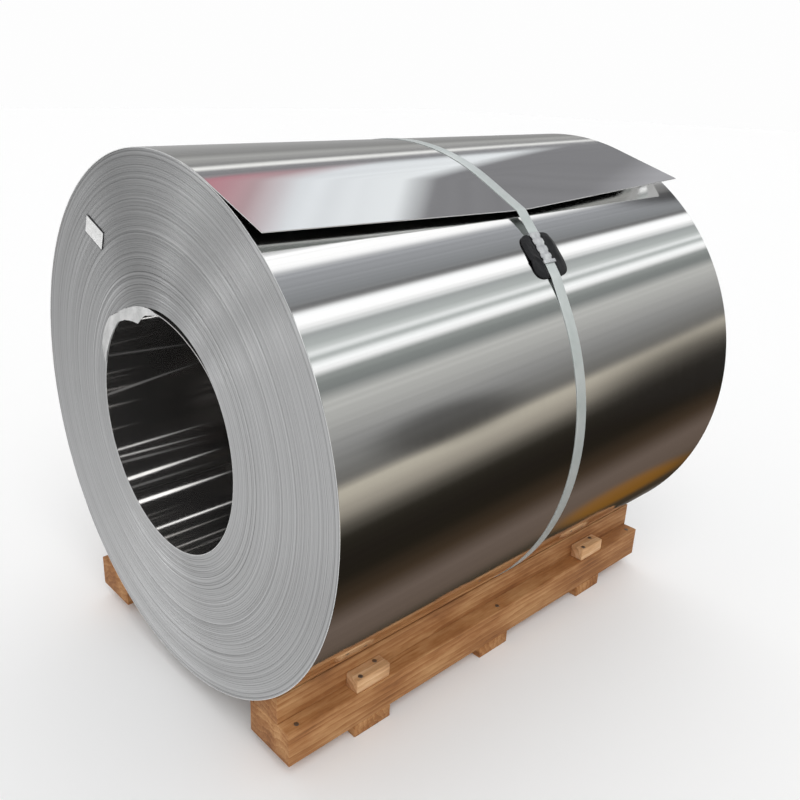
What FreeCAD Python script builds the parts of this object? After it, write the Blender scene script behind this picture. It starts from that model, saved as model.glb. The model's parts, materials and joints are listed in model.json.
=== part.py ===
import FreeCAD, Part
import math
import os

# A coil of aluminium strip lying on its side in a wooden cradle skid.
# Millimetres, X along the coil's axis, +Z up, floor at Z = 0, origin under the middle.
# Angles in the coil's section are measured from +Y through +Z; the front is -Y.

# Coil
coil_radius = 555.0
bore_radius = 254.0
coil_width = 1250.0
strip_thickness = 2.0

# Free end of the outermost turn: it springs away from the coil towards its edge
tail_root_angle = 106.0
tail_relief = 0.3
tail_edge_angles = {"near": 127.9, "strap": 128.5, "far": 126.2}
tail_lifts = {"near": 25.0, "strap": 10.5, "far": 29.5}

# Strap round the middle, with its seal and the pad beneath
strap_width = 30.0
strap_thickness = 1.0
strap_offset = 8.0
strap_clearance = 0.1
held_width = 44.0
pad_width = 105.0
pad_length = 102.0
pad_thickness = 4.0
pad_corner = 24.0
pad_middle_angle = 139.3
seal_length = 70.0
seal_wall = 0.9
seal_clearance = 0.15
seal_before_pad = 8.0

# Sticker on the near end
label_length = 81.0
label_height = 41.0
label_thickness = 0.2
label_middle = (247.0, 368.0)
label_tilt = 21.0

# Cradle skid
cross_board_thickness = 30.0
cross_board_width = 100.0
cross_board_spacing = 391.0
coil_clearance = 12.0
seat_angle = 35.7
seat_gap = 0.1
beam_width = 78.0
beam_land = 8.0
beam_inner_height = 11.0
beam_shortfall = 15.0
runner_outer_ledge = 37.0
runner_inner_ledge = 15.0
cleat_length = 90.0
cleat_depth = 35.0
cleat_height = 32.0
strap_dent_margin = 2.0
strap_dent_depth = 1.3

axis_height = cross_board_thickness + coil_clearance + coil_radius
axis = FreeCAD.Vector(0, 0, axis_height)
along_x = FreeCAD.Vector(1, 0, 0)
quarter_step = strip_thickness / 4


def direction(angle):
    turn = math.radians(angle)
    return FreeCAD.Vector(0, math.cos(turn), math.sin(turn))


def polar(radius, angle, centre=axis):
    return centre + direction(angle) * radius


def moved(point, x):
    return point + along_x * x


def arc(radius, start, end, centre=axis):
    middle = (start + end) / 2
    points = [polar(radius, angle, centre) for angle in (start, middle, end)]
    return Part.Arc(*points).toShape()


def line(start, end):
    return Part.LineSegment(start, end).toShape()


def extruded(outline, start, length):
    """A closed outline run along X from start."""
    face = Part.Face(outline)
    face.translate(along_x * start)
    return face.extrude(along_x * length)


def box(x, y, z):
    """A block between pairs of limits."""
    corner = FreeCAD.Vector(x[0], y[0], z[0])
    return Part.makeBox(x[1] - x[0], y[1] - y[0], z[1] - z[0], corner)


# The outside of the coil is one turn of a spiral, drawn as two half circles.
# It rises by one strip thickness and ends in the step that the tail grows from.
half_turn = tail_root_angle + 180
full_turn = tail_root_angle + 360
lower_centre = axis - direction(tail_root_angle) * quarter_step
lower_radius = coil_radius - 3 * quarter_step
upper_centre = axis + direction(tail_root_angle) * quarter_step
upper_radius = coil_radius - quarter_step


def tail_leaves(edge_angle, lift):
    """The angle where a straight tail, tangent to the coil, has to start."""
    return edge_angle - math.degrees(math.acos(coil_radius / (coil_radius + lift)))


def tail_edge(place):
    """Where the tail leaves the coil at this place, and the top of its free edge."""
    leaves = tail_leaves(tail_edge_angles[place], tail_lifts[place])
    reach = math.sqrt((coil_radius + tail_lifts[place]) ** 2 - coil_radius ** 2)
    return leaves, polar(coil_radius, leaves) + direction(leaves + 90) * reach


def tail_section(x, place):
    leaves, edge = tail_edge(place)
    sheet = strip_thickness - tail_relief
    under = coil_radius - sheet
    edge_under = edge - direction(leaves) * sheet
    edges = [
        arc(coil_radius, tail_root_angle, leaves),
        line(polar(coil_radius, leaves), edge),
        line(edge, edge_under),
        line(edge_under, polar(under, leaves)),
        arc(under, leaves, tail_root_angle),
        line(polar(under, tail_root_angle), polar(coil_radius, tail_root_angle)),
    ]
    wire = Part.Wire(edges)
    wire.translate(along_x * x)
    return wire


def make_coil():
    outside = Part.Wire([
        arc(lower_radius, tail_root_angle, half_turn, lower_centre),
        arc(upper_radius, half_turn, full_turn, upper_centre),
        line(polar(coil_radius, tail_root_angle),
             polar(coil_radius - strip_thickness, tail_root_angle)),
    ])
    body = extruded(outside, -coil_width / 2, coil_width)
    tail = Part.makeLoft([
        tail_section(-coil_width / 2, "near"),
        tail_section(strap_offset - held_width / 2, "strap"),
        tail_section(strap_offset + held_width / 2, "strap"),
        tail_section(coil_width / 2, "far"),
    ], True, True)
    bore = Part.makeCylinder(bore_radius, coil_width, moved(axis, -coil_width / 2), along_x)
    return body.cut(bore).fuse(tail)


pad_radius = lower_radius + pad_thickness
pad_half_angle = math.degrees(pad_length / 2 / pad_radius)
pad_start = pad_middle_angle - pad_half_angle
pad_end = pad_middle_angle + pad_half_angle


def strap_meets_pad():
    """Where the band, straight from the tail's edge, comes down on the pad."""
    leaves, edge = tail_edge("strap")
    reach = edge - lower_centre
    edge_turn = math.degrees(math.atan2(reach.z, reach.y))
    return edge_turn + math.degrees(math.acos(pad_radius / reach.Length))


def make_strap():
    """A taut band: over the tail, off its edge to the pad, and round the coil."""
    leaves, edge = tail_edge("strap")
    meets_pad = strap_meets_pad()
    meets_coil = pad_end + math.degrees(math.acos(lower_radius / pad_radius))
    guide = Part.Wire([
        arc(coil_radius, tail_root_angle, leaves),
        line(polar(coil_radius, leaves), edge),
        line(edge, polar(pad_radius, meets_pad, lower_centre)),
        arc(pad_radius, meets_pad, pad_end, lower_centre),
        line(polar(pad_radius, pad_end, lower_centre),
             polar(lower_radius, meets_coil, lower_centre)),
        arc(lower_radius, meets_coil, half_turn, lower_centre),
        arc(upper_radius, half_turn, full_turn, upper_centre),
    ])
    sharp = 2
    inside = guide.makeOffset2D(strap_clearance, sharp)
    outside = guide.makeOffset2D(strap_clearance + strap_thickness, sharp)
    start = strap_offset - strap_width / 2
    return extruded(outside, start, strap_width).cut(extruded(inside, start, strap_width))


def make_pad():
    """A soft sheet bent round the coil, with round corners."""
    start = strap_offset - pad_width / 2
    corners = [moved(polar(radius, pad_start, lower_centre), x)
               for radius, x in ((lower_radius, start), (lower_radius, start + pad_width),
                                 (pad_radius, start + pad_width), (pad_radius, start))]
    side = Part.Face(Part.makePolygon(corners + corners[:1]))
    pad = side.revolve(lower_centre, along_x, pad_end - pad_start)
    upright = [edge for edge in pad.Edges if abs(edge.Length - pad_thickness) < 0.01]
    return pad.makeFillet(pad_corner, upright)


def make_seal():
    """A pressed clip over the straight of the strap where it comes down on the pad."""
    meets_pad = strap_meets_pad()
    tunnel = strap_width / 2 + seal_clearance
    floor = strap_clearance
    roof = strap_clearance + strap_thickness + seal_clearance
    middle = polar(pad_radius, meets_pad, lower_centre)
    back = direction(meets_pad - 90)

    def block(half_width, length, low, high):
        start = middle + back * (seal_before_pad - length / 2) + direction(meets_pad) * low
        corners = [moved(start, strap_offset - half_width), moved(start, strap_offset + half_width)]
        far_side = [corner + back * length for corner in reversed(corners)]
        face = Part.Face(Part.makePolygon(corners + far_side + corners[:1]))
        return face.extrude(direction(meets_pad) * (high - low))

    clip = block(tunnel + seal_wall, seal_length, floor, roof + seal_wall)
    return clip.cut(block(tunnel, seal_length + 2, floor - 1, roof))


def make_label():
    y, z = label_middle
    label = box((-coil_width / 2 - label_thickness, -coil_width / 2),
                (y - label_length / 2, y + label_length / 2),
                (axis_height + z - label_height / 2, axis_height + z + label_height / 2))
    centre = FreeCAD.Vector(0, y, axis_height + z)
    label.rotate(centre, along_x, label_tilt)
    return label


# The bevel of each cradle beam is a plane that touches the coil at the seat angle.
seat_slope = math.tan(math.radians(seat_angle))
beam_middle = coil_radius * math.sin(math.radians(seat_angle))
beam_inner = beam_middle - beam_width / 2
beam_outer = beam_middle + beam_width / 2
seat_height = axis_height - coil_radius * math.cos(math.radians(seat_angle))
beam_bottom = seat_height - seat_slope * beam_width / 2 - beam_inner_height
beam_half = coil_width / 2 - beam_shortfall


def bevel_height(y, side, sink=0.0):
    """Height of the seat plane at this distance out, for the front (-1) or the back (1)."""
    centre, radius = (lower_centre, lower_radius) if side < 0 else (upper_centre, upper_radius)
    touch = centre + direction(270 + side * seat_angle) * (radius + seat_gap + sink)
    return touch.z + (y - abs(touch.y)) * seat_slope


def prism(outline, side, start, length):
    """An outline of (distance out, height) run along X on one side of the skid."""
    points = [FreeCAD.Vector(0, side * y, z) for y, z in outline]
    return extruded(Part.makePolygon(points + points[:1]), start, length)


def make_beam(side):
    land_start = beam_outer - beam_land
    top = bevel_height(land_start, side)
    beam = prism([(beam_inner, beam_bottom), (beam_outer, beam_bottom), (beam_outer, top),
                  (land_start, top), (beam_inner, bevel_height(beam_inner, side))],
                 side, -beam_half, 2 * beam_half)
    dent_width = strap_width + 2 * strap_dent_margin
    above = coil_radius
    dent = prism([(beam_inner - 1, bevel_height(beam_inner - 1, side, strap_dent_depth)),
                  (beam_outer + 1, bevel_height(beam_outer + 1, side, strap_dent_depth)),
                  (beam_outer + 1, above), (beam_inner - 1, above)],
                 side, strap_offset - dent_width / 2, dent_width)
    return beam.cut(dent)


def make_runner(side):
    out = sorted((side * (beam_inner - runner_inner_ledge), side * (beam_outer + runner_outer_ledge)))
    return box((-beam_half, beam_half), out, (cross_board_thickness, beam_bottom))


def make_cleat(side, x):
    out = sorted((side * beam_outer, side * (beam_outer + cleat_depth)))
    return box((x - cleat_length / 2, x + cleat_length / 2), out,
               (beam_bottom, beam_bottom + cleat_height))


def make_cross_board(x):
    reach = beam_outer + runner_outer_ledge
    return box((x - cross_board_width / 2, x + cross_board_width / 2), (-reach, reach),
               (0, cross_board_thickness))


def make_parts():
    parts = {
        "coil": make_coil(),
        "strap": make_strap(),
        "strap_pad": make_pad(),
        "strap_seal": make_seal(),
        "end_label": make_label(),
    }
    for name, side in (("front", -1), ("back", 1)):
        parts["cradle_beam_" + name] = make_beam(side)
        parts["runner_" + name] = make_runner(side)
        parts["cleat_" + name + "_near"] = make_cleat(side, -cross_board_spacing)
        parts["cleat_" + name + "_far"] = make_cleat(side, cross_board_spacing)
    for name, place in (("near", -1), ("middle", 0), ("far", 1)):
        parts["cross_board_" + name] = make_cross_board(place * cross_board_spacing)
    return parts


os.makedirs("parts", exist_ok=True)
for name, shape in make_parts().items():
    print(name, "solids", len(shape.Solids), "valid", shape.isValid(),
          "litres", round(shape.Volume / 1e6, 3))
    shape.exportStep("parts/" + name + ".step")
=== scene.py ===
import json
import math

import bpy
from mathutils import Euler, Matrix, Vector, noise


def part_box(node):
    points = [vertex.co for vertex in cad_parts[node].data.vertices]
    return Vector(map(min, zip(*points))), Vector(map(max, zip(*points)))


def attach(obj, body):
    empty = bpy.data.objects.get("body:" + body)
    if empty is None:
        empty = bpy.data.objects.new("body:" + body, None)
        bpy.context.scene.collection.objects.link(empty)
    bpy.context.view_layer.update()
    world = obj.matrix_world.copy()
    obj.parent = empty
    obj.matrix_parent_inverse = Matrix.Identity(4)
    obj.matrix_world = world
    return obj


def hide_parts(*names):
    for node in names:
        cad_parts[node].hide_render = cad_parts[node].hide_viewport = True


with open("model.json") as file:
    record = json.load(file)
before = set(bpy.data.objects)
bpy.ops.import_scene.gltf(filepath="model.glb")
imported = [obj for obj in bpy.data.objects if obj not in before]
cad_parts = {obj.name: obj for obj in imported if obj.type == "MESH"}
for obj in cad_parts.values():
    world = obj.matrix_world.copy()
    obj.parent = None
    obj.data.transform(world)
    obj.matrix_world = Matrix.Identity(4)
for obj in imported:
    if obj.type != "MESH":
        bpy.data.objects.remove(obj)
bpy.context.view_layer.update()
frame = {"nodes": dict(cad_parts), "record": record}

mounts = {mount["name"]: mount for mount in frame["record"]["mounts"]}
coilLow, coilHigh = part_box("coil")
axisHeight = mounts["coil_bore"]["pos_m"][2]
boreRadius = mounts["coil_bore"]["dims"]["r_mm"] / 1000
outerRadius = coilHigh.z - axisHeight
coilHalf = coilHigh.x
axisPoint = Vector((0, 0, axisHeight))
print("frame loaded")


# small helpers for modelling by hand

def deselectAll():
    for thing in bpy.context.selected_objects:
        thing.select_set(False)


def makeActive(piece):
    deselectAll()
    piece.select_set(True)
    bpy.context.view_layer.objects.active = piece


def finishModifier(piece, kind, **settings):
    makeActive(piece)
    modifier = piece.modifiers.new(kind.lower(), kind)
    for name, value in settings.items():
        setattr(modifier, name, value)
    bpy.ops.object.modifier_apply(modifier=modifier.name)


def bevelEdges(piece, width, segments=2, degrees=50):
    finishModifier(piece, "BEVEL", width=width, segments=segments, limit_method="ANGLE",
                   angle_limit=math.radians(degrees))


def editWhole(piece, operator, **settings):
    # one mesh operator run on all of the piece
    makeActive(piece)
    bpy.ops.object.mode_set(mode="EDIT")
    bpy.ops.mesh.select_all(action="SELECT")
    operator(**settings)
    bpy.ops.object.mode_set(mode="OBJECT")


def smooth(piece, degrees=35):
    makeActive(piece)
    bpy.ops.object.shade_smooth_by_angle(angle=math.radians(degrees))


def dress(piece, slotName, *finishes):
    piece.data.materials.clear()
    for finish in finishes:
        piece.data.materials.append(finish)
    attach(piece, "root")


def sectionDirection(degrees):
    # angles in the coil's section run from +Y through +Z
    return Vector((0, math.cos(math.radians(degrees)), math.sin(math.radians(degrees))))


def onSection(radius, degrees, x=0.0):
    return axisPoint + sectionDirection(degrees) * radius + Vector((x, 0, 0))


def bentGrid(name, across, along, place):
    # a flat grid laid out cell by cell: place takes shares across and along
    deselectAll()
    bpy.ops.mesh.primitive_grid_add(x_subdivisions=across, y_subdivisions=along, size=1)
    piece = bpy.context.object
    piece.name = name
    for vertex in piece.data.vertices:
        vertex.co = place(vertex.co.x + 0.5, vertex.co.y + 0.5)
    return piece


def edgedMix(low, high, share, cells, rim):
    # even cells, but for a narrow one along each side that holds the edge's shading
    cell = share * cells
    if cell <= 1:
        return low + rim * cell
    if cell >= cells - 1:
        return high - rim * (cells - cell)
    return mix(low + rim, high - rim, (cell - 1) / (cells - 2))


def faceAway(piece, centre):
    # turns the sheet over if it looks towards the centre line
    face = piece.data.polygons[len(piece.data.polygons) // 2]
    outwards = face.center - centre
    outwards.x = 0
    if face.normal.dot(outwards) < 0:
        editWhole(piece, bpy.ops.mesh.flip_normals)


def markCutEdges(piece, limit):
    # a sheet's narrow sides, which face along the coil or round it, take the second finish
    for face in piece.data.polygons:
        radial = face.center - axisPoint
        radial.x = 0
        if abs(face.normal.dot(radial.normalized())) < limit:
            face.material_index = 1


def mix(low, high, share):
    return low + (high - low) * share


def between(value, points):
    # straight lines through (place, value) pairs
    for (startAt, startValue), (endAt, endValue) in zip(points, points[1:]):
        if value <= endAt:
            share = max(0.0, (value - startAt) / (endAt - startAt))
            return mix(startValue, endValue, share)
    return points[-1][1]


# materials, their textures solid in the object's own frame

def newMaterial(name):
    material = bpy.data.materials.new(name)
    material.use_nodes = True
    return material, material.node_tree, material.node_tree.nodes["Principled BSDF"]


def addNode(tree, kind, **settings):
    node = tree.nodes.new(kind)
    for name, value in settings.items():
        setattr(node, name, value)
    return node


def join(tree, source, target):
    # a constant is set on the socket itself
    if isinstance(source, (int, float, tuple)):
        target.default_value = source
    else:
        tree.links.new(source, target)


def placedCoords(tree, location=(0, 0, 0), scale=(1, 1, 1)):
    coords = addNode(tree, "ShaderNodeTexCoord")
    mapping = addNode(tree, "ShaderNodeMapping")
    mapping.inputs["Location"].default_value = location
    mapping.inputs["Scale"].default_value = scale
    join(tree, coords.outputs["Object"], mapping.inputs["Vector"])
    return mapping.outputs["Vector"]


def noiseField(tree, vector, scale, detail=4.0, roughness=0.6, distortion=0.0):
    texture = addNode(tree, "ShaderNodeTexNoise")
    texture.inputs["Scale"].default_value = scale
    texture.inputs["Detail"].default_value = detail
    texture.inputs["Roughness"].default_value = roughness
    texture.inputs["Distortion"].default_value = distortion
    join(tree, vector, texture.inputs["Vector"])
    return texture.outputs["Fac"]


def ramp(tree, value, stops):
    # stops are (position, opaque colour) pairs in rising order
    node = addNode(tree, "ShaderNodeValToRGB")
    elements = node.color_ramp.elements
    elements[0].position, elements[0].color = stops[0]
    elements[1].position, elements[1].color = stops[-1]
    for position, color in stops[1:-1]:
        elements.new(position).color = color
    join(tree, value, node.inputs["Fac"])
    return node.outputs["Color"]


def remap(tree, value, low, high):
    node = addNode(tree, "ShaderNodeMapRange")
    node.inputs["To Min"].default_value = low
    node.inputs["To Max"].default_value = high
    join(tree, value, node.inputs["Value"])
    return node.outputs["Result"]


def mathNode(tree, operation, first, second=0.0):
    node = addNode(tree, "ShaderNodeMath", operation=operation)
    join(tree, first, node.inputs[0])
    join(tree, second, node.inputs[1])
    return node.outputs["Value"]


def addBump(tree, bsdf, height, distance, strength=1.0):
    bump = addNode(tree, "ShaderNodeBump")
    bump.inputs["Strength"].default_value = strength
    bump.inputs["Distance"].default_value = distance
    join(tree, height, bump.inputs["Height"])
    join(tree, bump.outputs["Normal"], bsdf.inputs["Normal"])


def tangentAlongCoil(tree, bsdf, anisotropy):
    # rolling lines run round the coil, so a highlight smears along its axis
    tangent = addNode(tree, "ShaderNodeTangent", direction_type="RADIAL", axis="X")
    bsdf.inputs["Anisotropic"].default_value = anisotropy
    bsdf.inputs["Anisotropic Rotation"].default_value = 0.25
    join(tree, tangent.outputs["Tangent"], bsdf.inputs["Tangent"])


def radiusFromAxis(tree):
    flat = placedCoords(tree, (0, 0, -axisHeight), (0, 1, 1))
    length = addNode(tree, "ShaderNodeVectorMath", operation="LENGTH")
    join(tree, flat, length.inputs[0])
    return length.outputs["Value"]


barrelLook = {"color": (0.90, 0.90, 0.895, 1), "roughness": (0.055, 0.10), "anisotropy": 0.8,
              "wave": 0.00022}


def barrelFinish():
    material, tree, bsdf = newMaterial("rolledAluminium")
    bsdf.inputs["Metallic"].default_value = 1.0
    bsdf.inputs["Base Color"].default_value = barrelLook["color"]
    lines = placedCoords(tree, scale=(90, 1.2, 1.2))
    rolled = noiseField(tree, lines, 1.0, 5, 0.65)
    join(tree, remap(tree, rolled, *barrelLook["roughness"]), bsdf.inputs["Roughness"])
    waves = placedCoords(tree, scale=(1.3, 5, 5))
    addBump(tree, bsdf, noiseField(tree, waves, 1.0, 1.5, 0.4), barrelLook["wave"])
    tangentAlongCoil(tree, bsdf, barrelLook["anisotropy"])
    return material


endLook = {"color": (0.74, 0.745, 0.75), "roughness": 0.30, "anisotropy": 1.0, "turn": 0.002,
           "dull": 0.80, "bright": 1.16}


def endFinish():
    # the edges of the turns: fine rings, each a little lighter or duller than the next
    material, tree, bsdf = newMaterial("turnEdges")
    bsdf.inputs["Metallic"].default_value = 1.0
    radius = radiusFromAxis(tree)
    turns = addNode(tree, "ShaderNodeTexNoise", noise_dimensions="1D")
    turns.inputs["Scale"].default_value = 0.45
    turns.inputs["Detail"].default_value = 3
    join(tree, mathNode(tree, "DIVIDE", radius, endLook["turn"]), turns.inputs["W"])
    dull, plain, bright = (tuple(channel * level for channel in endLook["color"]) + (1,)
                           for level in (endLook["dull"], 1, endLook["bright"]))
    shade = ramp(tree, turns.outputs["Fac"], [(0.28, dull), (0.5, plain), (0.72, bright)])
    join(tree, shade, bsdf.inputs["Base Color"])
    bsdf.inputs["Roughness"].default_value = endLook["roughness"]
    addBump(tree, bsdf, turns.outputs["Fac"], 0.0006, 0.6)
    tangentAlongCoil(tree, bsdf, endLook["anisotropy"])
    return material


# the inner turn's metal is darkened to under half the barrel's colour: painted shade for the dim
# inside of the bore
boreShadeLook = {"metallic": 0.94, "color": (0.42, 0.41, 0.40, 1), "roughness": (0.045, 0.09),
            "anisotropy": 0.5}


def boreShadedFinish():
    material, tree, bsdf = newMaterial("innerTurnFace")
    bsdf.inputs["Metallic"].default_value = boreShadeLook["metallic"]
    bsdf.inputs["Base Color"].default_value = boreShadeLook["color"]
    lines = noiseField(tree, placedCoords(tree, scale=(60, 2, 2)), 1.0)
    join(tree, remap(tree, lines, *boreShadeLook["roughness"]), bsdf.inputs["Roughness"])
    tangentAlongCoil(tree, bsdf, boreShadeLook["anisotropy"])
    return material


mottledLooks = {
    # a cut edge: burred and pale, brighter than the rolled face beside it
    "shearedEdge": {"metallic": 0.35, "noise": (180, 3), "roughness": 0.42, "bump": (0.0003, 0.4),
                    "shades": [(0.3, (0.70, 0.71, 0.71, 1)), (0.7, (0.88, 0.88, 0.88, 1))]},
    # thin foil, crumpled to a dull satin
    "tornFoil": {"metallic": 0.45, "noise": (34, 4), "roughness": (0.38, 0.5), "bump": (0.0008, 0.4),
                 "shades": [(0.3, (0.66, 0.665, 0.66, 1)), (0.7, (0.90, 0.90, 0.895, 1))]},
    "sealSteel": {"metallic": 0.8, "noise": (70, 2, 0.4), "roughness": (0.24, 0.34),
                  "bump": (0.00015, 0.3),
                  "shades": [(0.35, (0.58, 0.59, 0.61, 1)), (0.65, (0.86, 0.87, 0.88, 1))]},
    "nailSteel": {"metallic": 1.0, "noise": (60, 5), "roughness": (0.4, 0.625),
                  "bump": (0.0002, 0.5),
                  "shades": [(0.3, (0.2624, 0.2378, 0.2132, 1)), (0.7, (0.32, 0.29, 0.26, 1))]},
    "whiteSticker": {"noise": (60, 4), "roughness": 0.5, "bump": (0.0003, 0.5),
                     "shades": [(0.3, (0.74, 0.74, 0.73, 1)), (0.7, (0.86, 0.86, 0.86, 1))]},
    # the sticker's near-black edge ring: painted shade along its outline
    "stickerRim": {"noise": (220, 3), "roughness": 0.6,
                   "shades": [(0.3, (0.07, 0.07, 0.075, 1)), (0.7, (0.16, 0.16, 0.165, 1))]},
    "blackPad": {"noise": (55, 4, 0.65, 0.6), "roughness": (0.26, 0.45), "bump": (0.0025, 0.7),
                 "specular": 0.30,
                 "shades": [(0.3, (0.003, 0.003, 0.004, 1)), (0.75, (0.014, 0.014, 0.016, 1))]}}


def mottledFinish(name):
    # one noise field drives the shade, the roughness and the bump
    look = mottledLooks[name]
    material, tree, bsdf = newMaterial(name)
    field = noiseField(tree, placedCoords(tree), *look["noise"])
    join(tree, ramp(tree, field, look["shades"]), bsdf.inputs["Base Color"])
    rough = look["roughness"]
    if isinstance(rough, tuple):
        rough = remap(tree, field, *rough)
    join(tree, rough, bsdf.inputs["Roughness"])
    if "metallic" in look:
        bsdf.inputs["Metallic"].default_value = look["metallic"]
    if "specular" in look:
        bsdf.inputs["Specular IOR Level"].default_value = look["specular"]
    if "bump" in look:
        addBump(tree, bsdf, field, *look["bump"])
    return material


strapLook = {"metallic": 0.55, "dull": (0.62, 0.68, 0.665, 1), "bright": (0.76, 0.80, 0.79, 1)}


def strapFinish():
    material, tree, bsdf = newMaterial("strapSteel")
    bsdf.inputs["Metallic"].default_value = strapLook["metallic"]
    fleck = noiseField(tree, placedCoords(tree), 240, 3)
    broad = noiseField(tree, placedCoords(tree), 14, 3)
    shade = ramp(tree, broad, [(0.3, strapLook["dull"]), (0.7, strapLook["bright"])])
    join(tree, shade, bsdf.inputs["Base Color"])
    join(tree, remap(tree, fleck, 0.32, 0.5), bsdf.inputs["Roughness"])
    addBump(tree, bsdf, fleck, 0.0004, 0.35)
    return material


# the wood's colour sets: old is the timber's own colour; fresh is a paler, less saturated copy for
# the cleats, painted light standing for the light on their tops under the coil
woodLook = {
    "old": {"pale": (0.56, 0.31, 0.130), "mid": (0.36, 0.150, 0.045), "dark": (0.14, 0.045, 0.012)},
    "fresh": {"pale": (0.86, 0.60, 0.36), "mid": (0.64, 0.36, 0.17), "dark": (0.30, 0.13, 0.05)}}
woodShares = {"bands": 0.13, "fibre": 0.36, "patch": 0.70}  # how much each darkens the wood


def woodFinish(name, grain, shift, age):
    # growth rings and fibres are solid, so an end shows rings and a side shows grain
    material, tree, bsdf = newMaterial(name)
    stretch = {"x": (0.06, 1, 1), "y": (1, 0.06, 1)}[grain]
    coords = placedCoords(tree, shift, stretch)
    bands = addNode(tree, "ShaderNodeTexWave", wave_type="RINGS",
                    rings_direction=grain.upper(), wave_profile="SAW")
    bands.inputs["Scale"].default_value = 21
    bands.inputs["Distortion"].default_value = 9.0
    bands.inputs["Detail"].default_value = 4
    bands.inputs["Detail Scale"].default_value = 1.2
    join(tree, coords, bands.inputs["Vector"])
    fibre = noiseField(tree, coords, 220, 6, 0.7)
    blotches = {"x": (0.35, 1, 1), "y": (1, 0.35, 1)}[grain]
    patch = noiseField(tree, placedCoords(tree, shift, blotches), 16, 5, 0.62)
    tone = mathNode(tree, "MULTIPLY", bands.outputs["Fac"], woodShares["bands"])
    for field, part in ((fibre, "fibre"), (patch, "patch")):
        tone = mathNode(tree, "ADD", tone, mathNode(tree, "MULTIPLY", field, woodShares[part]))
    pale, mid, dark = (woodLook[age][key] + (1,) for key in ("pale", "mid", "dark"))
    shade = ramp(tree, tone, [(0.40, pale), (0.62, mid), (0.86, dark)])
    join(tree, shade, bsdf.inputs["Base Color"])
    join(tree, remap(tree, fibre, 0.62, 0.85), bsdf.inputs["Roughness"])
    addBump(tree, bsdf, fibre, 0.0012, 0.5)
    return material


# the coil: a profile of its two ends, barrel and bore, turned round the axis

coilSizes = {"around": 200, "bandWidth": 0.0041, "groove": 0.0004, "tilt": 0.00035,
             "bigGrooveEvery": 3, "bigGroove": 0.0011, "underTail": 0.0021, "behindInner": 0.0021,
             "setBack": 0.0012, "sway": 0.0006}
bodyBore = boreRadius + coilSizes["behindInner"]


def endProfile(side, bodyRadius):
    # rings from the barrel in to the bore, their edges a little uneven like real turns
    points = []
    count = round((bodyRadius - bodyBore) / coilSizes["bandWidth"])
    width = (bodyRadius - bodyBore) / count
    for ring in range(count):
        outer = bodyRadius - ring * width
        sway = noise.noise(Vector((ring * 0.21, side, 0.5)))
        jitter = noise.noise(Vector((ring * 7.31, side * 3.1, 2.5)))
        face = coilHalf - coilSizes["setBack"] + sway * coilSizes["sway"]
        tilt = jitter * coilSizes["tilt"]
        big = ring % coilSizes["bigGrooveEvery"] == 0
        depth = coilSizes["bigGroove"] if big else coilSizes["groove"]
        points.append((side * (face + tilt), outer - width * 0.10))
        points.append((side * (face - tilt), outer - width * 0.90))
        points.append((side * (face - depth), outer - width))
    return points


def turnedPiece(name, profile, around):
    # one vertex, extruded from point to point, then spun
    deselectAll()
    bpy.ops.mesh.primitive_plane_add(size=0.01, location=onSection(profile[0][1], 0, profile[0][0]))
    piece = bpy.context.object
    piece.name = name
    bpy.ops.object.transform_apply(location=True, rotation=True, scale=True)
    bpy.ops.object.mode_set(mode="EDIT")
    bpy.ops.mesh.merge(type="CENTER")
    for (lastX, lastRadius), (x, radius) in zip(profile, profile[1:]):
        bpy.ops.mesh.extrude_region_move(
            TRANSFORM_OT_translate={"value": (x - lastX, radius - lastRadius, 0)})
    bpy.ops.mesh.select_all(action="SELECT")
    bpy.ops.mesh.spin(steps=around, angle=2 * math.pi, center=axisPoint, axis=(1, 0, 0))
    bpy.ops.mesh.select_all(action="SELECT")
    bpy.ops.mesh.remove_doubles(threshold=0.00002)
    bpy.ops.mesh.normals_make_consistent(inside=False)
    bpy.ops.object.mode_set(mode="OBJECT")
    return piece


def makeCoilBody():
    bodyRadius = outerRadius - coilSizes["underTail"]
    near = endProfile(-1, bodyRadius)
    far = endProfile(1, bodyRadius)
    profile = [(-coilHalf + 0.002, bodyRadius), *near, (-coilHalf + 0.0016, bodyBore),
               (coilHalf - 0.0016, bodyBore), *reversed(far), (coilHalf - 0.002, bodyRadius)]
    profile.append(profile[0])
    piece = turnedPiece("coilBody", profile, coilSizes["around"])
    dress(piece, "coil_metal", barrelFinish(), endFinish(), boreShadedFinish())
    # the ends take the ring finish; the faces at the bore take the darkened metal, which is painted
    # shade
    for face in piece.data.polygons:
        radius = (face.center - axisPoint).yz.length
        if abs(face.center.x) > coilHalf - 0.004:
            face.material_index = 1
        elif radius < boreRadius + 0.01:
            face.material_index = 2
    smooth(piece, 30)
    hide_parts("coil")


# the outermost turn: once round the coil and off it as the sprung tail

tailSizes = {"rootAngle": 106.0, "thickness": 0.0017, "step": 0.002,
             "strapMiddle": 0.008, "heldHalf": 0.022,
             "edgeAngles": {"near": 127.9, "strap": 128.5, "far": 126.2},
             "lifts": {"near": 0.025, "strap": 0.0105, "far": 0.0295},
             "cells": (60, 270), "tailShare": 0.13, "firstRow": 0.0055, "tucked": 5, "rim": 0.0012}
tailRadius = outerRadius
quarterStep = tailSizes["step"] / 4
lowerCentre = axisPoint - sectionDirection(tailSizes["rootAngle"]) * quarterStep
lowerRadius = outerRadius - 3 * quarterStep
upperCentre = axisPoint + sectionDirection(tailSizes["rootAngle"]) * quarterStep
upperRadius = outerRadius - quarterStep


def roundCentre(centre, radius, degrees, x=0.0):
    return centre + sectionDirection(degrees) * radius + Vector((x, 0, 0))


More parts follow.
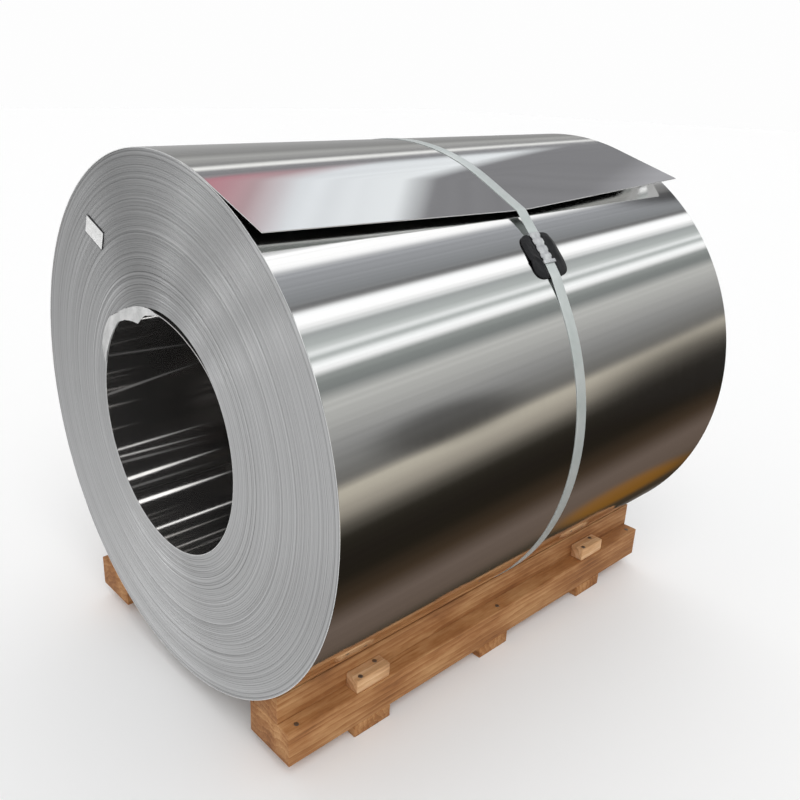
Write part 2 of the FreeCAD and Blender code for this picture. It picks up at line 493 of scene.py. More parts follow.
def spiralPoint(degrees, x=0.0):
    # the outside of the coil, one turn of a spiral drawn as two half circles
    if degrees <= tailSizes["rootAngle"] + 180:
        return roundCentre(lowerCentre, lowerRadius, degrees, x)
    return roundCentre(upperCentre, upperRadius, degrees, x)


def tailLeaves(edgeAngle, lift):
    # where a straight tail, tangent to the coil, starts, and how far it reaches from there
    leaves = edgeAngle - math.degrees(math.acos(tailRadius / (tailRadius + lift)))
    return leaves, math.sqrt((tailRadius + lift) ** 2 - tailRadius ** 2)


def tailAt(x):
    # edge angle and lift: straight lines between the near end, the strap and the far end
    middle = tailSizes["strapMiddle"]
    held = tailSizes["heldHalf"]
    values = []
    for key in ("edgeAngles", "lifts"):
        near, strap, far = (tailSizes[key][place] for place in ("near", "strap", "far"))
        values.append(between(x, [(-coilHalf, near), (middle - held, strap),
                                  (middle + held, strap), (coilHalf, far)]))
    return values


def tailPoint(x, share):
    leaves, reach = tailLeaves(*tailAt(x))
    bend = math.radians(leaves - tailSizes["rootAngle"]) * tailRadius
    run = share * (bend + reach)
    if run < bend:
        return onSection(tailRadius, tailSizes["rootAngle"] + math.degrees(run / tailRadius), x)
    return onSection(tailRadius, leaves, x) + sectionDirection(leaves + 90) * (run - bend)


def makeOuterTurn():
    half = coilHalf - 0.0004
    root = tailSizes["rootAngle"]
    tailShare = tailSizes["tailShare"]
    cells = tailSizes["cells"]

    def place(across, along):
        x = edgedMix(-half, half, across, cells[0], tailSizes["rim"])
        if along * cells[1] < 1.5:
            # the first row is narrow and holds the free edge's shading
            return tailPoint(x, 1 - tailSizes["firstRow"] * along * cells[1])
        if along <= tailShare:
            return tailPoint(x, 1 - along / tailShare)
        turned = (along - tailShare) / (1 - tailShare)
        degrees = mix(root + 360, root - tailSizes["tucked"], turned)
        if degrees < root:
            return roundCentre(lowerCentre, lowerRadius, degrees, x)
        return spiralPoint(degrees, x)

    piece = bentGrid("outerTurn", *cells, place)
    faceAway(piece, axisPoint)
    finishModifier(piece, "SOLIDIFY", thickness=tailSizes["thickness"], offset=-1)
    bevelEdges(piece, 0.0005)
    dress(piece, "coil_metal", bpy.data.materials["rolledAluminium"], mottledFinish("shearedEdge"))
    markCutEdges(piece, 0.6)
    smooth(piece, 35)
    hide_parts("coil")


# at the bore: the innermost turn, sagging loose at the top, and the torn lip

looseSizes = {"freeEnd": 83.0, "covers": 343.0, "thickness": 0.0019, "reach": 0.9,
              "flare": 0.35, "cells": (40, 200), "rim": 0.0012,
              # section angle and how far the turn drops there
              "sag": [(83, 0.0034), (92, 0.0058), (104, 0.0064), (118, 0.0052), (128, 0.0026),
                      (136, 0.0006), (142, 0.0), (426, 0.0)]}


def makeInnerTurn():
    half = coilHalf - 0.0006
    cells = looseSizes["cells"]

    def place(across, along):
        degrees = looseSizes["freeEnd"] + looseSizes["covers"] * along ** 1.3
        sag = between(degrees, looseSizes["sag"])
        x = edgedMix(-half - sag * looseSizes["flare"], half, across, cells[0], looseSizes["rim"])
        fade = max(0.0, 1 - across / looseSizes["reach"]) ** 1.5
        return onSection(boreRadius - sag * fade, degrees, x)

    piece = bentGrid("innerTurn", *cells, place)
    faceAway(piece, axisPoint)
    editWhole(piece, bpy.ops.mesh.flip_normals)
    finishModifier(piece, "SOLIDIFY", thickness=looseSizes["thickness"], offset=-1)
    bevelEdges(piece, 0.0004)
    # the inner turn's face takes the darkened metal, painted shade of the bore
    dress(piece, "coil_metal", bpy.data.materials["innerTurnFace"], bpy.data.materials["shearedEdge"])
    markCutEdges(piece, 0.7)
    smooth(piece, 35)
    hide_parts("coil")


lipSizes = {"thickness": 0.0007, "proud": 0.0016, "start": 20.0, "end": 91.0,
            "ragged": 0.0010, "ripple": 0.0009,
            # section angle and radius along each torn side
            "outside": [(20, 0.262), (25, 0.281), (31, 0.286), (42, 0.286), (53, 0.2705),
                        (64, 0.2630), (75, 0.2585), (85, 0.2540), (91, 0.2490)],
            "inside": [(20, 0.2540), (50, 0.2540), (58, 0.2450), (65, 0.2340), (71, 0.2250),
                       (75, 0.2320), (80, 0.2400), (85, 0.2425), (91, 0.2465)]}


def makeTornLip():
    def place(across, along):
        degrees = mix(lipSizes["start"], lipSizes["end"], along)
        inner = between(degrees, lipSizes["inside"])
        outer = between(degrees, lipSizes["outside"])
        ragged = noise.noise(Vector((degrees * 0.55, 1.5, 4.0))) * lipSizes["ragged"]
        radius = mix(inner + ragged, outer - ragged, across)
        lifted = lipSizes["proud"] * (1.25 - across)
        ripple = noise.noise(Vector((degrees * 0.12, radius * 60, 7.0))) * lipSizes["ripple"]
        return onSection(radius, degrees, -coilHalf - lifted - ripple)

    piece = bentGrid("tornLip", 12, 110, place)
    finishModifier(piece, "SOLIDIFY", thickness=lipSizes["thickness"], offset=0)
    bevelEdges(piece, 0.0002, segments=1)
    editWhole(piece, bpy.ops.mesh.normals_make_consistent, inside=False)
    dress(piece, "coil_metal", mottledFinish("tornFoil"))
    smooth(piece, 40)
    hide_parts("coil")


# the strap round the middle, its seal and the pad under them

strapSizes = {"width": 0.030, "thickness": 0.001, "middle": tailSizes["strapMiddle"],
              "clearance": 0.0002, "crown": 0.00025,
              "padRise": 0.004, "padMiddle": 139.3, "padLength": 0.102, "padWidth": 0.105,
              "padCorner": 0.026, "sealLength": 0.070, "sealAhead": 0.043, "sealHalf": 0.0161,
              "sealTop": 0.00215, "sealWall": 0.0009, "notch": 0.0030, "notchHalf": 0.0042,
              "notches": (0.031, 0.014, -0.003, -0.018),
              "bandBegin": -0.0205, "bandLength": 0.0075, "bandProud": 0.0016, "bandWall": 0.0013}
padRadius = lowerRadius + strapSizes["padRise"]
padHalfAngle = math.degrees(strapSizes["padLength"] / 2 / padRadius)
padEnd = strapSizes["padMiddle"] + padHalfAngle
# where the taut strap meets the pad, and where it comes down on the coil past it
edgeReach = tailPoint(strapSizes["middle"], 1) - lowerCentre
edgeReach.x = 0
meetsPad = (math.degrees(math.atan2(edgeReach.z, edgeReach.y))
            + math.degrees(math.acos(padRadius / edgeReach.length)))
meetsCoil = padEnd + math.degrees(math.acos(lowerRadius / padRadius))


def notched(ahead):
    # how deep the crimp is at this distance towards the tail, from none to all
    depth = 0.0
    for middle in strapSizes["notches"]:
        away = abs(ahead - middle) / strapSizes["notchHalf"]
        depth = max(depth, 1 - away * away)
    return max(0.0, depth)


def strapRoute():
    # corners of the taut band: over the tail, straight to the pad, off it and round the coil
    root = tailSizes["rootAngle"]
    leaves, reach = tailLeaves(tailSizes["edgeAngles"]["strap"], tailSizes["lifts"]["strap"])
    route = [(onSection(tailRadius, degrees), sectionDirection(degrees))
             for degrees in [mix(root, leaves, k / 6) for k in range(7)]]
    lineOut = sectionDirection(leaves)
    edge = onSection(tailRadius, leaves) + sectionDirection(leaves + 90) * reach
    start = route[-1][0]
    route += [(start.lerp(edge, k / 8), lineOut) for k in range(1, 8)]
    cornerOut = (lineOut + sectionDirection(meetsPad)).normalized()
    route.append((edge, cornerOut))
    padTouch = roundCentre(lowerCentre, padRadius, meetsPad)
    route += [(edge.lerp(padTouch, k / 40), sectionDirection(meetsPad)) for k in range(1, 40)]
    route += [(roundCentre(lowerCentre, padRadius, degrees), sectionDirection(degrees))
              for degrees in [mix(meetsPad, padEnd, k / 20) for k in range(21)]]
    padLeave = route[-1][0]
    coilTouch = roundCentre(lowerCentre, lowerRadius, meetsCoil)
    route += [(padLeave.lerp(coilTouch, k / 10), sectionDirection(mix(padEnd, meetsCoil, k / 10)))
              for k in range(1, 10)]
    count = 150
    for k in range(count + 1):
        degrees = mix(meetsCoil, root + 360, k / count)
        route.append((spiralPoint(degrees), sectionDirection(degrees)))
    return route


def makeStrap():
    route = strapRoute()
    last = len(route) - 1
    padTouch = roundCentre(lowerCentre, padRadius, meetsPad)
    towardsTail = sectionDirection(meetsPad - 90)

    def place(across, along):
        point, out = route[round(along * last)]
        ahead = (point - padTouch).dot(towardsTail)
        inSeal = abs((point - padTouch).dot(out)) < 0.002
        half = strapSizes["width"] / 2
        if inSeal:
            half -= strapSizes["notch"] * 0.8 * notched(ahead)
        crown = strapSizes["crown"] * (1 - (2 * across - 1) ** 2)
        side = (2 * across - 1) * half
        lifted = point + out * (strapSizes["clearance"] + crown)
        return lifted + Vector((strapSizes["middle"] + side, 0, 0))

    piece = bentGrid("strapBand", 6, last, place)
    faceAway(piece, axisPoint)
    editWhole(piece, bpy.ops.mesh.remove_doubles, threshold=0.00001)
    finishModifier(piece, "SOLIDIFY", thickness=strapSizes["thickness"], offset=1)
    bevelEdges(piece, 0.0003)
    dress(piece, "strap_metal", strapFinish())
    smooth(piece, 40)
    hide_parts("strap")


def saddle(share, half, top, foot, bend):
    # across a clip: up one side, over its top and down the other
    run = (2 * share - 1) * (half + top - foot)
    side = -1 if run < 0 else 1
    run = abs(run)
    if run <= half - bend:
        return side * run, top
    turn = (run - half + bend) / bend
    if turn <= math.pi / 2:
        return side * (half - bend + bend * math.sin(turn)), top - bend * (1 - math.cos(turn))
    return side * half, max(foot, top - bend - bend * (turn - math.pi / 2))


def clipShell(name, finish, begin, length, half, top, wall, crimp, along):
    padTouch = roundCentre(lowerCentre, padRadius, meetsPad)
    towardsTail = sectionDirection(meetsPad - 90)
    out = sectionDirection(meetsPad)

    def place(across, down):
        ahead = begin - length * down
        droop = min(ahead, 0) ** 2 / (2 * padRadius)
        depth = crimp * notched(ahead)
        side, height = saddle(across, half - depth, top - depth * 0.15, 0.0002, 0.0011)
        dent = depth * 0.25 * (abs(side) / half) ** 4
        return (padTouch + towardsTail * ahead + out * (height - droop - dent)
                + Vector((strapSizes["middle"] + side, 0, 0)))

    piece = bentGrid(name, 26, along, place)
    faceAway(piece, axisPoint)
    finishModifier(piece, "SOLIDIFY", thickness=wall, offset=-1)
    bevelEdges(piece, 0.00025)
    dress(piece, "seal_metal", finish)
    smooth(piece, 40)
    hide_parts("strap_seal")


padSizes = {"cells": 72, "crease": 0.0026, "crumple": 0.0007, "loose": 0.0012, "droop": 0.0018,
            "pressedHalf": 0.021, "thickness": 0.0022}


def makePad():
    wide = strapSizes["padWidth"] / 2
    long = strapSizes["padLength"] / 2
    corner = strapSizes["padCorner"]

    def place(across, along):
        # square grid pulled out to a rounded outline
        u, v = 2 * across - 1, 2 * along - 1
        reach = max(abs(u), abs(v))
        turn = math.atan2(v, u)
        if reach < 1e-6:
            edgeU = edgeV = 0.0
        else:
            edgeU, edgeV = u / reach * wide, v / reach * long
            overU, overV = abs(edgeU) - (wide - corner), abs(edgeV) - (long - corner)
            if overU > 0 and overV > 0:
                shrink = corner / math.hypot(overU, overV)
                edgeU = math.copysign(wide - corner + overU * shrink, edgeU)
                edgeV = math.copysign(long - corner + overV * shrink, edgeV)
        around = Vector((math.cos(turn) * 1.6, math.sin(turn) * 1.6, 3))
        uneven = 0.96 + 0.055 * noise.noise(around)
        x = edgeU * reach * uneven
        run = edgeV * reach * uneven
        fold = 1 - abs(noise.noise(Vector((x * 26, run * 16, 1.0)))) * 2.2
        crumple = noise.noise(Vector((x * 60, run * 40, 5.0))) * padSizes["crumple"]
        crease = max(0.0, fold) ** 3 * padSizes["crease"] + crumple
        pressed = max(0.0, 1 - (abs(x) / padSizes["pressedHalf"]) ** 6)
        height = strapSizes["padRise"] - 0.0006 + (crease + padSizes["loose"]) * (1 - pressed)
        height -= padSizes["droop"] * max(0.0, reach - 0.8) / 0.2
        degrees = strapSizes["padMiddle"] + math.degrees(run / padRadius)
        return roundCentre(lowerCentre, lowerRadius + height, degrees, strapSizes["middle"] + x)

    piece = bentGrid("strapPad", padSizes["cells"], padSizes["cells"], place)
    faceAway(piece, axisPoint)
    finishModifier(piece, "SOLIDIFY", thickness=padSizes["thickness"], offset=-1)
    bevelEdges(piece, 0.0008, segments=3, degrees=45)
    dress(piece, "pad_rubber", mottledFinish("blackPad"))
    smooth(piece, 50)
    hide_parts("strap_pad")


# the bare sticker on the near end

labelSizes = {"length": 0.081, "height": 0.041, "middle": (0.247, 0.368), "tilt": 21.0,
              "thickness": 0.0002, "corner": 0.003, "border": 0.0018, "lift": 0.0004}


def makeLabel():
    deselectAll()
    y, z = labelSizes["middle"]
    bpy.ops.mesh.primitive_plane_add(size=1, location=(-coilHalf - 0.0001, y, axisHeight + z),
                                     rotation=(0, -math.pi / 2, 0))
    piece = bpy.context.object
    piece.name = "endSticker"
    piece.scale = (labelSizes["height"], labelSizes["length"], 1)
    bpy.ops.object.transform_apply(location=False, rotation=False, scale=True)
    bpy.ops.object.mode_set(mode="EDIT")
    bpy.ops.mesh.select_all(action="SELECT")
    bpy.ops.mesh.bevel(offset=labelSizes["corner"], segments=4, affect="VERTICES")
    bpy.ops.mesh.inset(thickness=labelSizes["border"])
    bpy.ops.mesh.poke()
    bpy.ops.mesh.select_all(action="SELECT")
    bpy.ops.mesh.subdivide(number_cuts=3)
    bpy.ops.object.mode_set(mode="OBJECT")
    bpy.ops.object.transform_apply(location=True, rotation=True, scale=True)
    centre = Vector((0, y, axisHeight + z))
    turn = Matrix.Rotation(math.radians(labelSizes["tilt"]), 3, "X")
    for vertex in piece.data.vertices:
        vertex.co = centre + turn @ (vertex.co - centre)
        vertex.co.x -= max(0.0, noise.noise(vertex.co * 24)) * labelSizes["lift"]
    finishModifier(piece, "SOLIDIFY", thickness=labelSizes["thickness"], offset=0)
    editWhole(piece, bpy.ops.mesh.normals_make_consistent, inside=False)
    dress(piece, "label_paper", mottledFinish("whiteSticker"), mottledFinish("stickerRim"))
    # faces within the border width take the near-black edge ring, painted shade
    for face in piece.data.polygons:
        flat = turn.inverted() @ (face.center - centre)
        inset = min(labelSizes["length"] / 2 - abs(flat.y),
                    labelSizes["height"] / 2 - abs(flat.z))
        if inset < labelSizes["border"]:
            face.material_index = 1
    smooth(piece, 40)
    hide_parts("end_label")


makeCoilBody()
print("coil body turned")
makeOuterTurn()
makeInnerTurn()
makeTornLip()
print("outer and inner turns bent")
makeStrap()
steelClip = mottledFinish("sealSteel")
clipShell("strapSeal", steelClip, strapSizes["sealAhead"], strapSizes["sealLength"],
          strapSizes["sealHalf"], strapSizes["sealTop"], strapSizes["sealWall"],
          strapSizes["notch"], 90)
clipShell("sealBand", steelClip, strapSizes["bandBegin"], strapSizes["bandLength"],
          strapSizes["sealHalf"] + strapSizes["bandProud"],
          strapSizes["sealTop"] + strapSizes["bandProud"], strapSizes["bandWall"], 0.0, 8)
makePad()
makeLabel()
print("strap, seal, pad and sticker made")


# timbers: the frame's own shapes with worn edges

def roughTimber(node, grain, shift, age):
    source = frame["nodes"][node]
    makeActive(source)
    bpy.ops.object.duplicate()
    piece = bpy.context.object
    words = node.split("_")
    piece.name = words[0] + "".join(word.title() for word in words[1:]) + "Wood"
    for key in list(piece.keys()):
        del piece[key]
    piece.parent = None
    bpy.ops.object.mode_set(mode="EDIT")
    bpy.ops.mesh.select_all(action="SELECT")
    bpy.ops.mesh.remove_doubles(threshold=0.00005)
    bpy.ops.mesh.dissolve_limited(angle_limit=math.radians(1))
    bpy.ops.mesh.normals_make_consistent(inside=False)
    bpy.ops.object.mode_set(mode="OBJECT")
    bevelEdges(piece, 0.0018, degrees=30)
    dress(piece, "timber", woodFinish(piece.name.replace("Wood", "Grain"), grain, shift, age))
    smooth(piece, 35)
    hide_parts(node)


for index, node in enumerate(sorted(frame["nodes"])):
    # each timber is cut from another place in the same solid grain
    shift = (0.37 * index, 0.03 * index, 0.11 * index)
    if node.startswith("cleat"):
        # the cleats take the paler copy of the wood, painted light
        roughTimber(node, "x", shift, "fresh")
    elif node.startswith(("cradle_beam", "runner")):
        roughTimber(node, "x", shift, "old")
    elif node.startswith("cross_board"):
        roughTimber(node, "y", shift, "old")
print("skid timbers cut")


# nails in the cleats and runners

nailSizes = {"head": 0.0052, "height": 0.0012, "crown": 0.0004, "fromEdge": 0.016,
             "onCleat": ((0.024, -0.008), (-0.030, 0.009)),
             "onRunner": (-0.58, -0.40, 0.02, 0.38, 0.585)}


def nailHead():
    # a flat head with a hammered crown, its underside just in the wood
    deselectAll()
    bpy.ops.mesh.primitive_cylinder_add(vertices=18, radius=nailSizes["head"],
                                        depth=nailSizes["height"])
    nail = bpy.context.object
    bpy.ops.object.mode_set(mode="EDIT")
    bpy.ops.mesh.select_all(action="DESELECT")
    bpy.ops.object.mode_set(mode="OBJECT")
    for face in nail.data.polygons:
        face.select = face.normal.z > 0.9
    bpy.ops.object.mode_set(mode="EDIT")
    bpy.ops.mesh.inset(thickness=nailSizes["head"] * 0.45)
    bpy.ops.transform.translate(value=(0, 0, nailSizes["crown"]))
    bpy.ops.mesh.inset(thickness=nailSizes["head"] * 0.25)
    bpy.ops.transform.translate(value=(0.0003, 0, -nailSizes["crown"] * 0.4))
    bpy.ops.object.mode_set(mode="OBJECT")
    bevelEdges(nail, 0.0003, degrees=40)
    return nail


def makeNails():
    heads = []
    for side, outward in (("front", -1), ("back", 1)):
        for place in ("near", "far"):
            low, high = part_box("cleat_%s_%s" % (side, place))
            middle = (low + high) / 2
            heads += [(middle.x + x, middle.y + outward * y, high.z)
                      for x, y in nailSizes["onCleat"]]
        low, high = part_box("runner_" + side)
        edgeY = (low.y if side == "front" else high.y) - outward * nailSizes["fromEdge"]
        heads += [(x, edgeY, high.z) for x in nailSizes["onRunner"]]
    first = nailHead()
    steel = mottledFinish("nailSteel")
    for number, place in enumerate(heads):
        makeActive(first)
        bpy.ops.object.duplicate()
        nail = bpy.context.object
        nail.name = "nailHead%02d" % number
        nail.location = place
        bpy.ops.object.transform_apply(location=True, rotation=True, scale=True)
        dress(nail, "strap_metal", steel)
        smooth(nail, 40)
    makeActive(first)
    bpy.ops.object.delete()


makeNails()
print("nails driven")


# studio: pale floor, soft lamps, and a tent of strip lights that only gloss sees

def makeFloor():
    deselectAll()
    bpy.ops.mesh.primitive_plane_add(size=60, location=(0, 0, -0.0005))
    floor = bpy.context.object
    floor.name = "floor"
    material, tree, bsdf = newMaterial("paleFloor")
    bsdf.inputs["Base Color"].default_value = (0.95, 0.95, 0.95, 1)
    bsdf.inputs["Roughness"].default_value = 1.0
    bsdf.inputs["Specular IOR Level"].default_value = 0.0
    floor.data.materials.append(material)
    floor.visible_glossy = False


tentLook = {  # metres, and degrees round the axis
    "radius": 5.0, "halfLength": 14.0,
    "slide": 0.04, "middle": 6.25,  # how far the bands drift round for each metre along X
    "overheadSkew": 48.0, "overheadMiddle": 53.0, "overheadFrom": (42, 46), "overheadTo": (87, 84),
    "lowerFrom": (212, 220),
    "slats": 0.8, "slatRange": (0.74, 1.26),  # fine unevenness round the axis
    "nearZone": (-1.0, -2.4), "nearLevel": 0.545, "farZone": (10.8, 12.5), "farLevel": 0.52}
tentStops = [  # degrees round the coil's axis from +Y through +Z, and a colour
    (0, (0.42, 0.42, 0.42)), (22, (0.27, 0.27, 0.265)), (27, (0.42, 0.42, 0.41)),
    (34, (0.24, 0.24, 0.24)), (35.4, (0.95, 0.95, 0.93)), (37.6, (0.92, 0.92, 0.90)),
    (38.8, (0.25, 0.25, 0.26)), (87, (0.24, 0.24, 0.25)),
    (91, (1.15, 1.15, 1.15)), (96, (1.1, 1.1, 1.1)), (99, (0.36, 0.37, 0.39)),
    (110.5, (0.25, 0.26, 0.27)), (114.2, (0.17, 0.17, 0.17)), (116.4, (1.15, 1.16, 1.17)),
    (120.5, (1.1, 1.1, 1.1)), (124.5, (0.36, 0.38, 0.38)), (129.5, (0.50, 0.53, 0.52)),
    (132, (0.95, 0.97, 0.97)), (133.5, (0.34, 0.37, 0.36)),
    (136.5, (1.05, 1.07, 1.07)), (138.5, (1.0, 1.0, 1.0)), (140.5, (0.28, 0.30, 0.29)),
    (146, (0.20, 0.215, 0.21)), (151, (0.52, 0.52, 0.50)),
    (168, (0.27, 0.27, 0.265)), (176, (0.19, 0.188, 0.18)), (181, (0.15, 0.145, 0.135)),
    (184.5, (0.52, 0.48, 0.40)), (192, (0.34, 0.31, 0.26)), (198, (0.10, 0.09, 0.075)),
    (203, (0.022, 0.019, 0.014)), (212, (0.016, 0.013, 0.010))]
lowerStops = [  # the same, for the lower side
    (220, (0.016, 0.013, 0.009)), (233, (0.05, 0.033, 0.02)), (245, (0.14, 0.105, 0.085)),
    (262, (0.12, 0.088, 0.068)), (272, (0.045, 0.036, 0.024)), (290, (0.04, 0.03, 0.02)),
    (305, (0.22, 0.20, 0.18)), (320, (0.36, 0.36, 0.355)), (360, (0.42, 0.42, 0.42))]
overheadStops = [  # metres along X for what the tail sees above it, and a colour
    (0.0, (0.36, 0.36, 0.36)), (0.75, (0.37, 0.36, 0.36)), (1.25, (0.50, 0.23, 0.27)),
    (2.1, (0.47, 0.34, 0.36)), (3.0, (0.76, 0.79, 0.82)), (5.2, (0.84, 0.87, 0.89)),
    (6.1, (0.23, 0.23, 0.24)), (8.9, (0.235, 0.235, 0.245)), (9.9, (0.40, 0.40, 0.42)),
    (12.0, (0.40, 0.40, 0.40))]
nearLights = [  # lamps and shades beyond the near end: direction, size and power
    ((-0.741, 0.668, -0.057), 0.055, 2.1), ((-0.800, 0.582, -0.152), 0.055, 1.8),
    ((-0.624, 0.781, 0.008), 0.045, 1.9), ((-0.744, 0.455, -0.487), 0.28, -0.12),
    ((-0.350, 0.900, -0.150), 0.46, -0.26), ((-0.660, 0.630, -0.410), 0.24, 0.34)]
softDark = (0.02, 0.018, 0.016, 1)
softOrange = (0.27, 0.115, 0.012, 1)
shades = [  # soft patches beside the barrel: direction, size, cover and colour
    ((0.615, -0.788, -0.016), 0.16, 0.62, softDark), ((0.87, -0.47, -0.16), 0.22, 0.70, softDark),
    ((0.87, -0.01, 0.49), 0.10, 0.85, softDark), ((0.785, -0.02, -0.605), 0.14, 0.7, softOrange)]


def strips(tree, stops, unit, value):
    # a ramp over the stops' own range; unit is what their places are measured in
    where = addNode(tree, "ShaderNodeMapRange")
    where.inputs["From Min"].default_value = stops[0][0] / unit
    where.inputs["From Max"].default_value = stops[-1][0] / unit
    join(tree, value, where.inputs["Value"])
    scaled = [((place - stops[0][0]) / (stops[-1][0] - stops[0][0]), color + (1,))
              for place, color in stops]
    return ramp(tree, where.outputs["Result"], scaled)


def blend(tree, factor, first, second):
    node = addNode(tree, "ShaderNodeMix", data_type="RGBA")
    join(tree, factor, node.inputs["Factor"])
    join(tree, first, node.inputs["A"])
    join(tree, second, node.inputs["B"])
    return node.outputs["Result"]


def step(tree, value, low, high):
    where = addNode(tree, "ShaderNodeMapRange", interpolation_type="SMOOTHSTEP")
    where.inputs["From Min"].default_value = low
    where.inputs["From Max"].default_value = high
    join(tree, value, where.inputs["Value"])
    return where.outputs["Result"]


def stepDegrees(tree, share, limits):
    return step(tree, share, limits[0] / 360, limits[1] / 360)


def patchCover(tree, direction, place, size, core, power):
    # round and soft: full power within the core's share of the size, none beyond the size
    away = addNode(tree, "ShaderNodeVectorMath", operation="DISTANCE")
    join(tree, direction, away.inputs[0])
    away.inputs[1].default_value = Vector(place).normalized()
    inside = step(tree, away.outputs["Value"], size, size * core)
    return mathNode(tree, "MULTIPLY", inside, power)


def bandsRound(tree, share, x):
    # lengthwise bands round the axis, with bands across them over the tail
    upper = strips(tree, tentStops, 360, share)
    lower = strips(tree, lowerStops, 360, share)
    light = blend(tree, stepDegrees(tree, share, tentLook["lowerFrom"]), upper, lower)
    turned = mathNode(tree, "SUBTRACT", share, tentLook["overheadMiddle"] / 360)
    skew = mathNode(tree, "MULTIPLY", turned, tentLook["overheadSkew"])
    overhead = strips(tree, overheadStops, 1, mathNode(tree, "ADD", x, skew))
    aboveTail = mathNode(tree, "MULTIPLY", stepDegrees(tree, share, tentLook["overheadFrom"]),
                         stepDegrees(tree, share, tentLook["overheadTo"]))
    light = blend(tree, aboveTail, light, overhead)
    slats = addNode(tree, "ShaderNodeTexNoise", noise_dimensions="1D")
    slats.inputs["Scale"].default_value = tentLook["slats"]
    slats.inputs["Detail"].default_value = 2
    join(tree, mathNode(tree, "MULTIPLY", share, 360), slats.inputs["W"])
    streaked = addNode(tree, "ShaderNodeVectorMath", operation="SCALE")
    join(tree, light, streaked.inputs[0])
    uneven = remap(tree, slats.outputs["Fac"], *tentLook["slatRange"])
    join(tree, uneven, streaked.inputs["Scale"])
    return streaked.outputs["Vector"]


def nearLight(tree, direction):
    # what the near end sees: a plain grey with lamps and shades
    level = tentLook["nearLevel"]
    for place, size, power in nearLights:
        level = mathNode(tree, "ADD", level, patchCover(tree, direction, place, size, 0.6, power))
    color = addNode(tree, "ShaderNodeCombineColor")
    for channel in ("Red", "Green", "Blue"):
        join(tree, level, color.inputs[channel])
    return color.outputs["Color"]


def lampMaterial(name):
    material = bpy.data.materials.new(name)
    material.use_nodes = True
    tree = material.node_tree
    tree.nodes.clear()
    return material, tree, addNode(tree, "ShaderNodeOutputMaterial")


def glossOnly(piece):
    for kind in ("camera", "diffuse", "shadow", "transmission", "volume_scatter"):
        setattr(piece, "visible_" + kind, False)


def tentFinish():
    material, tree, output = lampMaterial("stripLights")
    fromAxis = placedCoords(tree, (0, 0, -axisHeight))
    split = addNode(tree, "ShaderNodeSeparateXYZ")
    join(tree, fromAxis, split.inputs["Vector"])
    x = split.outputs["X"]
    angle = mathNode(tree, "ARCTAN2", split.outputs["Z"], split.outputs["Y"])
    slide = mathNode(tree, "MULTIPLY", mathNode(tree, "SUBTRACT", x, tentLook["middle"]),
                     tentLook["slide"])
    turned = mathNode(tree, "DIVIDE", mathNode(tree, "ADD", angle, slide), 2 * math.pi)
    share = mathNode(tree, "FRACT", mathNode(tree, "ADD", turned, 1.0))
    light = bandsRound(tree, share, x)
    normalize = addNode(tree, "ShaderNodeVectorMath", operation="NORMALIZE")
    join(tree, fromAxis, normalize.inputs[0])
    direction = normalize.outputs["Vector"]
    for place, size, depth, color in shades:
        cover = patchCover(tree, direction, place, size, 0.4, depth)
        light = blend(tree, cover, light, color)
    nearZone = step(tree, x, *tentLook["nearZone"])
    light = blend(tree, nearZone, light, nearLight(tree, direction))
    farZone = step(tree, x, *tentLook["farZone"])
    light = blend(tree, farZone, light, (tentLook["farLevel"],) * 3 + (1,))
    emission = addNode(tree, "ShaderNodeEmission")
    join(tree, light, emission.inputs["Color"])
    join(tree, emission.outputs["Emission"], output.inputs["Surface"])
    return material


def makeTent():
    deselectAll()
    bpy.ops.mesh.primitive_cylinder_add(vertices=96, radius=tentLook["radius"],
                                        depth=2 * tentLook["halfLength"],
                                        location=axisPoint, rotation=(0, math.pi / 2, 0))
    tent = bpy.context.object
    tent.name = "lightTent"
    bpy.ops.object.transform_apply(location=True, rotation=True, scale=True)
    tent.data.materials.append(tentFinish())
    glossOnly(tent)


boreLamps = {  # metres
    "radius": 0.240, "from": -0.50, "fadeFrom": -0.36, "to": -0.10,
    "strips": [  # section angle at each end, half width in degrees, power
        (103.6, 108.8, 2.2, 2.6), (66.0, 67.7, 2.6, 2.9), (12.4, 14.3, 1.8, 2.3),
        (148.2, 151.4, 1.2, 1.5), (139.5, 134.5, 1.0, 1.2), (131.4, 125.3, 1.6, 0.30),
        (91.2, 91.4, 1.6, 0.26), (-134, -108, 1.8, 0.30), (-65, -79, 1.5, 0.14)]}


def boreStripFinish(number, power):
    # lit on the face towards the axis only, and fading out inwards
    material, tree, output = lampMaterial("boreStrip%d" % number)
    split = addNode(tree, "ShaderNodeSeparateXYZ")
    join(tree, placedCoords(tree), split.inputs["Vector"])
    fade = addNode(tree, "ShaderNodeMapRange")
    fade.inputs["From Min"].default_value = boreLamps["to"]
    fade.inputs["From Max"].default_value = boreLamps["fadeFrom"]
    join(tree, split.outputs["X"], fade.inputs["Value"])
    emission = addNode(tree, "ShaderNodeEmission")
    strength = mathNode(tree, "MULTIPLY", fade.outputs["Result"], power)
    join(tree, strength, emission.inputs["Strength"])
    facing = addNode(tree, "ShaderNodeNewGeometry")
    clear = addNode(tree, "ShaderNodeBsdfTransparent")
    oneSided = addNode(tree, "ShaderNodeMixShader")
    join(tree, facing.outputs["Backfacing"], oneSided.inputs["Fac"])
    join(tree, clear.outputs["BSDF"], oneSided.inputs[1])
    join(tree, emission.outputs["Emission"], oneSided.inputs[2])
    join(tree, oneSided.outputs["Shader"], output.inputs["Surface"])
    return material


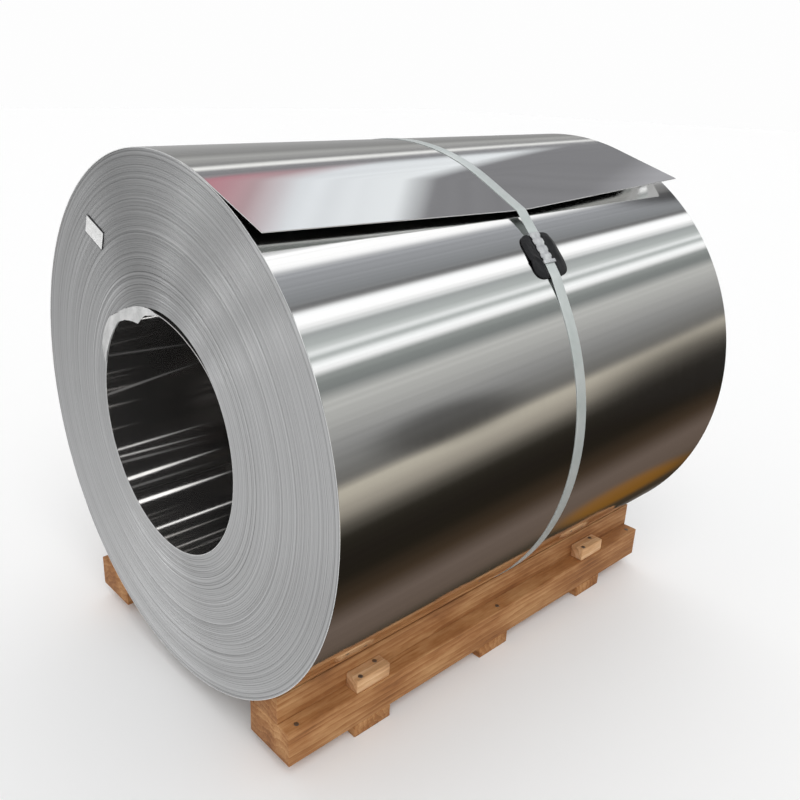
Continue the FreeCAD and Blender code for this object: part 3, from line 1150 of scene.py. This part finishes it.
def makeBoreLamps():
    # slim strip lamps inside the bore, seen by gloss only, that streak its lower wall
    for number, (begins, ends, half, power) in enumerate(boreLamps["strips"]):
        def place(across, along):
            x = mix(boreLamps["from"], boreLamps["to"], along)
            taper = min(1.0, (boreLamps["to"] - x) / (boreLamps["to"] - boreLamps["fadeFrom"]))
            degrees = mix(begins, ends, along) + (2 * across - 1) * half * taper
            return onSection(boreLamps["radius"], degrees, x)

        strip = bentGrid("boreLamp%d" % number, 4, 24, place)
        faceAway(strip, axisPoint)
        strip.data.materials.append(boreStripFinish(number, power))
        glossOnly(strip)


lampLook = {"keyLamp": (-125, 50, 50, 1.15), "fillLamp": (40, 60, 60, 0.45)}


def makeSun(name, heading, height, softness, strength):
    # heading is where the light comes from, in degrees from +X towards +Y
    deselectAll()
    bpy.ops.object.light_add(type="SUN", location=(0, 0, 4))
    lamp = bpy.context.object
    lamp.name = name
    source = Vector((math.cos(math.radians(heading)) * math.cos(math.radians(height)),
                     math.sin(math.radians(heading)) * math.cos(math.radians(height)),
                     math.sin(math.radians(height))))
    lamp.rotation_euler = source.to_track_quat("Z", "Y").to_euler()
    lamp.data.angle = math.radians(softness)
    lamp.data.energy = strength
    lamp.visible_glossy = False


worldLook = (0.64, 0.985)  # strength for diffuse rays, and for what is seen directly or in gloss


def makeWorld():
    world = bpy.data.worlds.new("paleWorld")
    bpy.context.scene.world = world
    world.use_nodes = True
    tree = world.node_tree
    background = tree.nodes["Background"]
    path = addNode(tree, "ShaderNodeLightPath")
    seen = path.outputs["Is Camera Ray"]
    for ray in ("Is Glossy Ray", "Is Transmission Ray"):
        seen = mathNode(tree, "MAXIMUM", seen, path.outputs[ray])
    background.inputs["Color"].default_value = (1, 1, 1, 1)
    join(tree, remap(tree, seen, *worldLook), background.inputs["Strength"])


cameraSizes = {"place": (-1.338, -1.382, 1.275), "heading": 48.05, "tilt": -20.45, "roll": 1.69,
               "lens": 36.80, "shift": (0.05, -0.01875)}


def makeCamera():
    deselectAll()
    bpy.ops.object.camera_add(location=cameraSizes["place"])
    camera = bpy.context.object
    look = Euler((math.radians(90 + cameraSizes["tilt"]), 0,
                  math.radians(cameraSizes["heading"] - 90))).to_matrix()
    roll = Matrix.Rotation(math.radians(cameraSizes["roll"]), 3, "Z")
    camera.rotation_euler = (look @ roll).to_euler()
    camera.data.sensor_width = 36
    camera.data.lens = cameraSizes["lens"]
    camera.data.shift_x, camera.data.shift_y = cameraSizes["shift"]
    bpy.context.scene.camera = camera


makeFloor()
makeTent()
makeBoreLamps()
makeWorld()
for name, values in lampLook.items():
    makeSun(name, *values)
makeCamera()
bpy.context.scene.view_settings.view_transform = "Standard"
print("studio lit")
